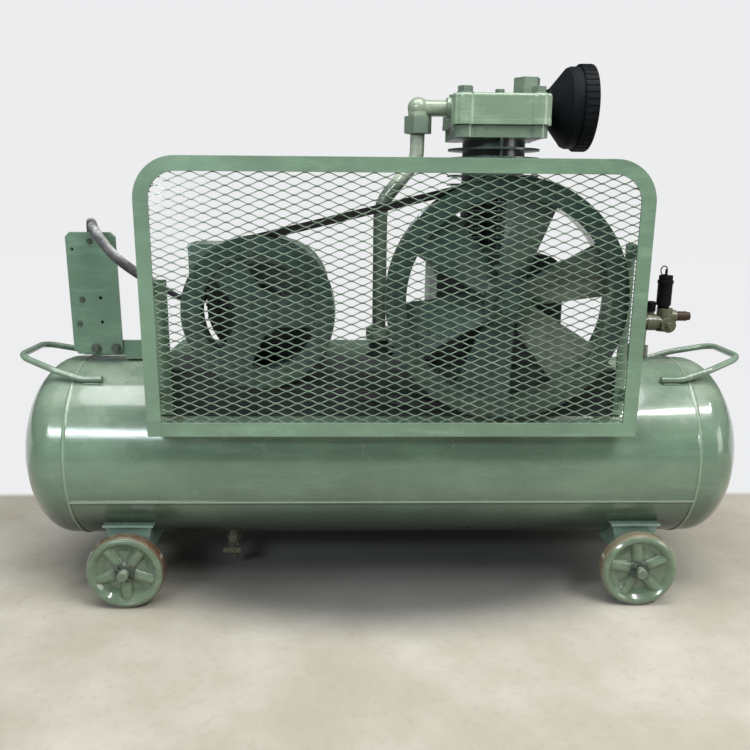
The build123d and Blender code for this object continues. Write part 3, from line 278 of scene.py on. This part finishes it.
def matte(name, colour, rough=0.6, dust=0.3, grain=900, depth=0.0002,
          dust_colour=(0.33, 0.33, 0.3), shine=0.5):
    """Rubber or plastic with a fine grain, greyed by dust, with a painted highlight on the edges."""
    net = Net(name)
    fine = net.noise(grain, 3, 0.6)
    cloud = net.noise(22, 6, 0.7)
    tone = net.mix(net.spread(cloud, 0.35, 0.7), tinted(colour, 0.75), tinted(colour, 1.35))
    exposed = net.math("ADD", net.times(net.upward(), 0.7), 0.12)
    settled = net.times(exposed, net.spread(cloud, 0.4, 0.75))
    tone = net.mix(net.times(settled, dust), tone, dust_colour)
    bevel, edges = rounded_edges(net, 0.0007)
    # painted highlight: the edges are tinted lighter
    tone = net.mix(net.times(edges, 0.25), tone, tinted(colour, 2, 0.008))
    return net.finish(Base_Color=tone, Specular_IOR_Level=shine, Normal=net.bump(fine, depth, 0.5, bevel),
                      Roughness=net.spread(cloud, 0.3, 0.7, rough - 0.08, rough + 0.14))


# ---- the paints, marks, painted highlights and painted shade of single pieces -------------
GREEN = (0.150, 0.232, 0.160)
# dark green paint of the parts behind the guard, darkened further as painted shade
SHADED_DARK_GREEN = (0.040, 0.078, 0.060)
PALE_GREEN = (0.128, 0.185, 0.118)
RUST = (0.20, 0.085, 0.035)
BEIGE = (0.20, 0.165, 0.105)
FADED = (0.30, 0.32, 0.24)        # dust on dark paint

SEAM_ANGLE = math.radians(-20)    # long seam of the tank, from the level line
tank_low, tank_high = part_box("tank_heads")
tank_z = (tank_low.z + tank_high.z) / 2
tank_radius = (tank_high.z - tank_low.z) / 2 - 0.0015          # the ring bead stands that proud
SEAM_Z = tank_z + (tank_radius + 0.0005) * math.sin(SEAM_ANGLE)
RING_X = 0.476                    # the welds between the shell and its heads
WHEEL_Z = 0.059


def tank_marks_and_shade(net, tone):
    """Paler, chalky paint on top, painted shade on the belly, a few runs, a painted highlight along the long
    seam with painted shade below it, and pale lines along the ring welds.
    """
    high = net.spread(net.axis("Z"), 0.25, 0.36)
    chalk = net.times(high, net.spread(net.noise(9, 6, 0.65, (0.5, 1, 1)), 0.3, 0.75))
    tone = net.mix(net.times(chalk, 0.3), tone, (0.30, 0.36, 0.27))
    # painted shade: the belly turns dark towards the bottom
    low = net.spread(net.axis("Z"), 0.20, 0.10)
    tone = net.mix(net.times(low, 0.88), tone, (0.016, 0.024, 0.016))
    runs = net.spread(net.noise(11, 6, 0.7, (4, 1, 0.35)), 0.6, 0.78)
    tone = net.mix(net.times(runs, 0.22), tone, (0.10, 0.115, 0.06))
    front = net.times(net.spread(net.axis("Y"), -0.05, -0.08),
                     net.spread(net.math("ABSOLUTE", net.axis("X")), RING_X + 0.001, RING_X - 0.001))
    # painted highlight along the long seam on the front side, and painted shade in a dark line just below it
    for drop, width, share, colour in ((0.0, 0.0021, 0.75, (0.33, 0.42, 0.30)),
                                       (0.0042, 0.0018, 0.6, (0.04, 0.055, 0.04))):
        off = net.math("ABSOLUTE", net.math("SUBTRACT", net.axis("Z"), SEAM_Z - drop))
        line = net.times(net.spread(off, width, width * 0.4), front)
        tone = net.mix(net.times(line, share), tone, colour)
    off = net.math("ABSOLUTE", net.math("SUBTRACT", net.math("ABSOLUTE", net.axis("X")), RING_X))
    return net.mix(net.times(net.spread(off, 0.0022, 0.0008), 0.5), tone, (0.30, 0.39, 0.28))


def tread(center_x, worn):
    """Paint scuffed off the rolling face of a wheel."""
    def add(net, tone):
        radius = net.from_axis((center_x, 0, WHEEL_Z))[1]
        patchy = net.spread(net.noise(80, 6, 0.75), 0.3, 0.5)
        rolled = net.times(net.spread(radius, 0.0555, 0.0585), patchy)
        tone = net.mix(rolled, tone, worn)
        hub = net.spread(radius, 0.024, 0.014)
        return net.mix(net.times(hub, 0.55), tone, (0.05, 0.055, 0.04))
    return add


def rust_marks(colour, low=0.55, high=0.72, strength=0.5, scale=30):
    """Scattered marks of rust or dirt."""
    def add(net, tone):
        marks = net.spread(net.noise(scale, 6, 0.75), low, high)
        return net.mix(net.times(marks, strength), tone, colour)
    return add


def shade_below(level, colour, share=0.85, soft=0.012, marks=None):
    """Painted shade: paint that turns dark under a height."""
    def add(net, tone):
        if marks:
            tone = marks(net, tone)
        # painted shade below the level
        under = net.spread(net.axis("Z"), level + soft, level - soft)
        return net.mix(net.times(under, share), tone, colour)
    return add


def painted_blade_light(net, tone):
    """Painted highlight: the two blades on the outlet side are painted paler than the others, in patches."""
    low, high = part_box("flywheel")
    arm, reach = net.from_axis(tuple((low + high) / 2))
    bearing = math.radians(-26)
    along = (math.cos(bearing), 0, math.sin(bearing))
    towards = net.vector("DOT_PRODUCT", net.vector("NORMALIZE", arm), along)
    share = net.times(net.spread(towards, 0.70, 0.90), net.spread(reach, 0.150, 0.140))
    share = net.times(share, net.spread(reach, 0.030, 0.070))
    patchy = net.spread(net.noise(28, 6, 0.7), 0.3, 0.6, 0.45, 1.0)
    # painted highlight on the outlet-side blades
    return net.mix(net.times(net.times(share, patchy), 0.8), tone, (0.165, 0.215, 0.160))


def painted_guard_shade(net, tone):
    """Painted shade behind the guard: dark paint in front, in patches, thinning towards the rear."""
    near = net.spread(net.axis("Y"), 0.040, -0.030)
    shade_patches = net.spread(net.noise(14, 5, 0.65), 0.25, 0.7)
    shade_tone = net.mix(net.times(shade_patches, 0.75), (0.036, 0.056, 0.044), (0.009, 0.013, 0.011))
    return net.mix(near, tone, shade_tone)


# ---- one material for each slot of the record ---------------------------------------------
MATERIALS = {
    "tank_enamel": enamel("tank_enamel", GREEN, rough=0.20, corner_shade=0.45, edge_wear_and_light=0, chips=0,
                          extra=tank_marks_and_shade, coat=0.6, mottle=0.4),
    "wheel_enamel": enamel("wheel_enamel", PALE_GREEN, rough=0.2, dust=0.2, coat=0.8),
    "axle_steel": enamel("axle_steel", (0.13, 0.17, 0.12), rough=0.45,
                         extra=rust_marks(RUST, strength=0.6, scale=60)),
    "cock_enamel": enamel("cock_enamel", (0.100, 0.106, 0.062), rough=0.3, corner_shade=0.8,
                          extra=rust_marks((0.09, 0.06, 0.03), scale=60)),
    "motor_enamel": enamel("motor_enamel", (0.080, 0.135, 0.105), rough=0.42, dust=0.5),
    "winding_copper": steel("winding_copper", (0.42, 0.18, 0.09), stained=0.2),
    "bare_steel": steel("bare_steel", (0.45, 0.45, 0.44), painted_at=-0.115),
    "fan_plastic": matte("fan_plastic", (0.03, 0.03, 0.03)),
    "pulley_enamel": enamel("pulley_enamel", SHADED_DARK_GREEN, rough=0.27, dust=0.3, dust_colour=FADED, coat=0.6),
    "belt_rubber": matte("belt_rubber", (0.012, 0.012, 0.013), rough=0.7, dust=0.5,
                         dust_colour=(0.10, 0.10, 0.09)),
    "casting_enamel": enamel("casting_enamel", (0.250, 0.345, 0.240), rough=0.24, dust=0.3, chips=0.9),
    "fastener_enamel": enamel("fastener_enamel", (0.165, 0.225, 0.165), rough=0.4, edge_wear_and_light=0.6,
                              extra=rust_marks(RUST, strength=0.35, scale=90)),
    "piston_alloy": steel("piston_alloy", (0.62, 0.62, 0.62), rough=0.3, stained=0.15),
    "ring_iron": steel("ring_iron", (0.30, 0.30, 0.29), rough=0.4),
    "pipe_enamel": enamel(
        "pipe_enamel", (0.42, 0.48, 0.37), rough=0.26, dust=0.1,
        # painted shade on the pipe below the top of the guard
        extra=shade_below(0.640, (0.030, 0.052, 0.040),
                           marks=rust_marks((0.25, 0.18, 0.09), low=0.58, strength=0.6, scale=26))),
    "black_plastic": matte("black_plastic", (0.0045, 0.0055, 0.007), rough=0.62, dust=0, shine=0.12),
    "filter_foam": matte("filter_foam", (0.22, 0.22, 0.19), rough=0.9, grain=350, depth=0.002),
    "nozzle_bronze": steel("nozzle_bronze", (0.050, 0.026, 0.018), rough=0.5, metallic=0.3,
                           stain=(0.03, 0.02, 0.016), stained=0.4),
    "guard_enamel": enamel("guard_enamel", (0.165, 0.262, 0.178), rough=0.36, dust=0.15, edge_wear_and_light=0.3),
    "mesh_enamel": enamel("mesh_enamel", (0.185, 0.250, 0.185), rough=0.25, dust=0.4, corner_shade=0.2,
                          edge_wear_and_light=0, chips=0.2),
    "plate_enamel": enamel("plate_enamel", (0.135, 0.235, 0.158), rough=0.42, dust=0.3, edge_wear_and_light=0.5),
    # paler on the upward faces: a strong pale coat on top
    "sleeve_grey": matte("sleeve_grey", (0.060, 0.060, 0.066), rough=0.75, dust=2.0,
                         dust_colour=(0.56, 0.56, 0.53)),
    "lead_black": matte("lead_black", (0.02, 0.02, 0.024), rough=0.6, dust=0.3),
}
glass = Net("sight_glass")
MATERIALS["sight_glass"] = glass.finish(
    Base_Color=glass.mix(glass.spread(glass.noise(90), 0.4, 0.7),
                         (0.55, 0.42, 0.16), (0.75, 0.66, 0.38)),
    Roughness=0.12, Coat_Weight=0.5)


def paint(node, material):
    nodes[node].material_slots[0].material = material


for sub in frame["record"]["subparts"]:
    paint(sub["node"], MATERIALS[sub["material_slot"]])


# ---- pieces that differ from the rest of their slot ---------------------------------------
# painted shade for the parts behind the guard
guard_shade_paint = enamel("guard_shade_enamel", (0.110, 0.172, 0.125), rough=0.5, dust=0.05, edge_wear_and_light=0.2, corner_shade=0.8,
                extra=painted_guard_shade, coat=0.05)
for node in ("motor_end_shields", "motor_frame", "machine_bed", "crankcase",
             "crankcase_rear_cover", "check_valve"):
    paint(node, guard_shade_paint)
FLANGE_HEIGHT = 0.0192            # the cylinder's top flange keeps its light paint above this; painted shade below
flange_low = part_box("valve_plate")[0].z - FLANGE_HEIGHT
# painted shade on the cylinder below its top flange
paint("cylinder", enamel(
    "cylinder_paint", (0.19, 0.27, 0.19), rough=0.25, chips=0.9,
    extra=shade_below(flange_low, (0.020, 0.034, 0.032), share=0.93, soft=0.001)))
paint("legs", enamel("leg_paint", (0.21, 0.31, 0.25), rough=0.22, dust=0.1, corner_shade=0.6, coat=0.6))
paint("flywheel", enamel("flywheel_paint", SHADED_DARK_GREEN, rough=0.27, dust=0.3, dust_colour=FADED,
                         extra=painted_blade_light, coat=0.6))
paint("discharge_elbow", enamel(
    "elbow_paint", (0.27, 0.33, 0.24), rough=0.26, dust=0.1,
    extra=rust_marks((0.17, 0.10, 0.045), low=0.52, high=0.66, strength=0.7, scale=34)))
paint("wheel_retainers", enamel(
    "dark_bolts", (0.045, 0.062, 0.048), rough=0.5, dust=0.1, edge_wear_and_light=0.3,
    extra=rust_marks(RUST, strength=0.3, scale=90)))
paint("plate_fasteners", enamel("plate_bolts", (0.050, 0.076, 0.058), rough=0.22, dust=0.15,
                                edge_wear_and_light=0.9, coat=0.6))
# the front left tread tone is dark brown partly as painted shade on the side seen from the front
for node, center_x, worn in (("wheel_front_left", -0.394, (0.105, 0.060, 0.034)),
                             ("wheel_rear_left", -0.394, BEIGE),
                             ("wheel_front_right", 0.394, BEIGE),
                             ("wheel_rear_right", 0.394, (0.13, 0.075, 0.045))):
    paint(node, enamel(node + "_paint", PALE_GREEN, rough=0.2, dust=0.12, corner_shade=0.8,
                       extra=tread(center_x, worn), coat=0.8))


# ---- expanded metal of the guard ----------------------------------------------------------
def mesh_object(name, vertices, faces, material, body, smooth=False):
    data = bpy.data.meshes.new(name)
    data.from_pydata(vertices, [], faces)
    data.materials.append(material)
    data.update()
    if smooth:
        data.shade_smooth()
    ob = bpy.data.objects.new(name, data)
    scene.collection.objects.link(ob)
    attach(ob, body)
    return ob


LONG_WAY, SHORT_WAY = 0.0305, 0.012
STRAND_WIDE, STRAND_THICK = 0.0015, 0.0014
BOND_HALF = 0.0022                # half the length of a bond
LEAN = 0.0005                     # how far the strands lean forwards and back
BEVEL = 0.0003
MESH_INSET = 0.007                # how far inside the frame's outline the sheet ends
GUARD_CORNER = 0.058


def expanded_metal():
    """Zigzag strands that meet in flat bonds, each leaning from front to back between them."""
    low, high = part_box("guard_frame")
    sheet_low, sheet_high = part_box("guard_mesh")
    mid_y = (sheet_low.y + sheet_high.y) / 2
    half = LONG_WAY / 2
    vertices, faces = [], []

    def ends(z):
        """Where a row meets the sheet's outline."""
        over = z - (high.z - GUARD_CORNER)
        reach = GUARD_CORNER - MESH_INSET
        inset = reach - math.sqrt(max(reach * reach - over * over, 0)) if over > 0 else 0
        return low.x + MESH_INSET + inset, high.x - MESH_INSET - inset

    rows = int((high.z - low.z) / (SHORT_WAY / 2))
    for row in range(rows):
        level = low.z + SHORT_WAY / 4 + SHORT_WAY / 2 * row
        if not low.z + MESH_INSET < level < high.z - MESH_INSET:
            continue
        start, stop = ends(level)
        points = []
        for step in range(int((high.x - low.x) / half) + 2):
            x = low.x + step * half
            side = 1 if (step + row) % 2 else -1
            swing = (SHORT_WAY / 4 - STRAND_WIDE * 0.36) * side
            points += [(x - BOND_HALF, swing, LEAN * side), (x + BOND_HALF, swing, LEAN * side)]
        points = [p for p in points if start <= p[0] <= stop]
        base = len(vertices)
        wide, thick = STRAND_WIDE / 2, STRAND_THICK / 2
        for x, swing, lean in points:
            for dz, dy in ((-wide, -thick), (wide, -thick + BEVEL),
                           (wide, thick), (-wide, thick - BEVEL)):
                vertices.append((x, mid_y + lean + dy, level + swing + dz))
        for i in range(len(points) - 1):
            a, b = base + 4 * i, base + 4 * i + 4
            faces += [(a + k, b + k, b + (k + 1) % 4, a + (k + 1) % 4) for k in range(4)]
        last = base + 4 * (len(points) - 1)
        faces += [(base + 3, base + 2, base + 1, base), (last, last + 1, last + 2, last + 3)]
    sheet = mesh_object("expanded_metal", vertices, faces, MATERIALS["mesh_enamel"], "chassis")
    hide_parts("guard_mesh")


expanded_metal()


# ---- weld beads ---------------------------------------------------------------------------
def weld_bead(name, start, end, radius, slot, ripple=0.0021):
    """A short rippled bead along a straight seam."""
    start, end = Vector(start), Vector(end)
    along = (end - start).normalized()
    side = along.cross(Vector((0, 0, 1))).normalized()
    rise = side.cross(along)
    rings, around = 48, 12
    vertices, faces = [], []
    for i in range(rings + 1):
        share = i / rings
        travelled = share * (end - start).length
        taper = math.sqrt(max(1 - abs(2 * share - 1) ** 6, 0.02))
        lumpy = 1 + 0.16 * abs(math.sin(math.pi * travelled / ripple)) + 0.08 * math.sin(travelled * 700)
        reach = radius * taper * lumpy
        centre = start.lerp(end, share)
        for k in range(around):
            angle = 2 * math.pi * k / around
            vertices.append(centre + reach * (math.cos(angle) * side + math.sin(angle) * rise))
    for i in range(rings):
        for k in range(around):
            a, b = i * around + k, i * around + (k + 1) % around
            faces.append((a, b, b + around, a + around))
    faces += [tuple(range(around))[::-1], tuple(rings * around + k for k in range(around))]
    mesh_object(name, vertices, faces, MATERIALS[slot], "chassis", smooth=True)


FOOT_Y, FOOT_LENGTH = 0.078, 0.031
BEAD_RADIUS = 0.0019
BEAD_OFFSET = 0.0052              # from the middle of the rod to the bead on each flank
for hand in ("left", "right"):
    grip_low, grip_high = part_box("handle_" + hand)
    outward = -1 if hand == "left" else 1
    foot_end = grip_high.x if outward < 0 else grip_low.x
    for front in (-1, 1):
        for flank in (-1, 1):
            lean = math.asin(FOOT_Y / (tank_radius + 0.005)) + flank * BEAD_OFFSET / tank_radius
            seam_y = front * tank_radius * math.sin(lean)
            seam_z = tank_z + tank_radius * math.cos(lean)
            row, edge = "front" if front < 0 else "rear", "low" if flank > 0 else "high"
            weld_bead("weld_handle_%s_%s_%s" % (hand, row, edge),
                      (foot_end + outward * 0.001, seam_y, seam_z),
                      (foot_end + outward * FOOT_LENGTH, seam_y, seam_z),
                      BEAD_RADIUS, "tank_enamel")


# ---- stage --------------------------------------------------------------------------------
floor_data = bpy.data.meshes.new("floor")
FAR = 6.0
floor_data.from_pydata([(-FAR, -FAR, 0), (FAR, -FAR, 0), (FAR, FAR, 0), (-FAR, FAR, 0)], [],
                       [(0, 1, 2, 3)])
floor = bpy.data.objects.new("floor", floor_data)
scene.collection.objects.link(floor)
ground = Net("floor")
cloud = ground.noise(3.5, 8, 0.6)
speck = ground.noise(70, 6, 0.7)
concrete = ground.mix(ground.spread(cloud, 0.35, 0.7), (0.36, 0.335, 0.272), (0.47, 0.445, 0.385))
concrete = ground.mix(ground.times(ground.spread(speck, 0.5, 0.7), 0.25), concrete,
                      (0.27, 0.235, 0.18))
SHADE_X, SHADE_Y = 0.52, 0.27     # half the length and depth of the painted shadow below the tank
painted_shadow_reach = ground.vector("MULTIPLY", ground.place, (1 / SHADE_X, 1 / SHADE_Y, 1))
painted_shadow_reach = ground.vector("LENGTH", painted_shadow_reach)
# painted shadow on the floor under the tank
concrete = ground.mix(ground.spread(painted_shadow_reach, 1.0, 0.55, 0, 0.8), concrete, (0.050, 0.056, 0.060))
distant = ground.spread(ground.axis("Y"), 0.28, 0.31)
floor_data.materials.append(ground.finish(
    Base_Color=ground.mix(distant, concrete, (0, 0, 0)), Roughness=0.85, Emission_Strength=1.0,
    Specular_IOR_Level=0.1, Emission_Color=ground.mix(distant, (0, 0, 0), BACKDROP)))
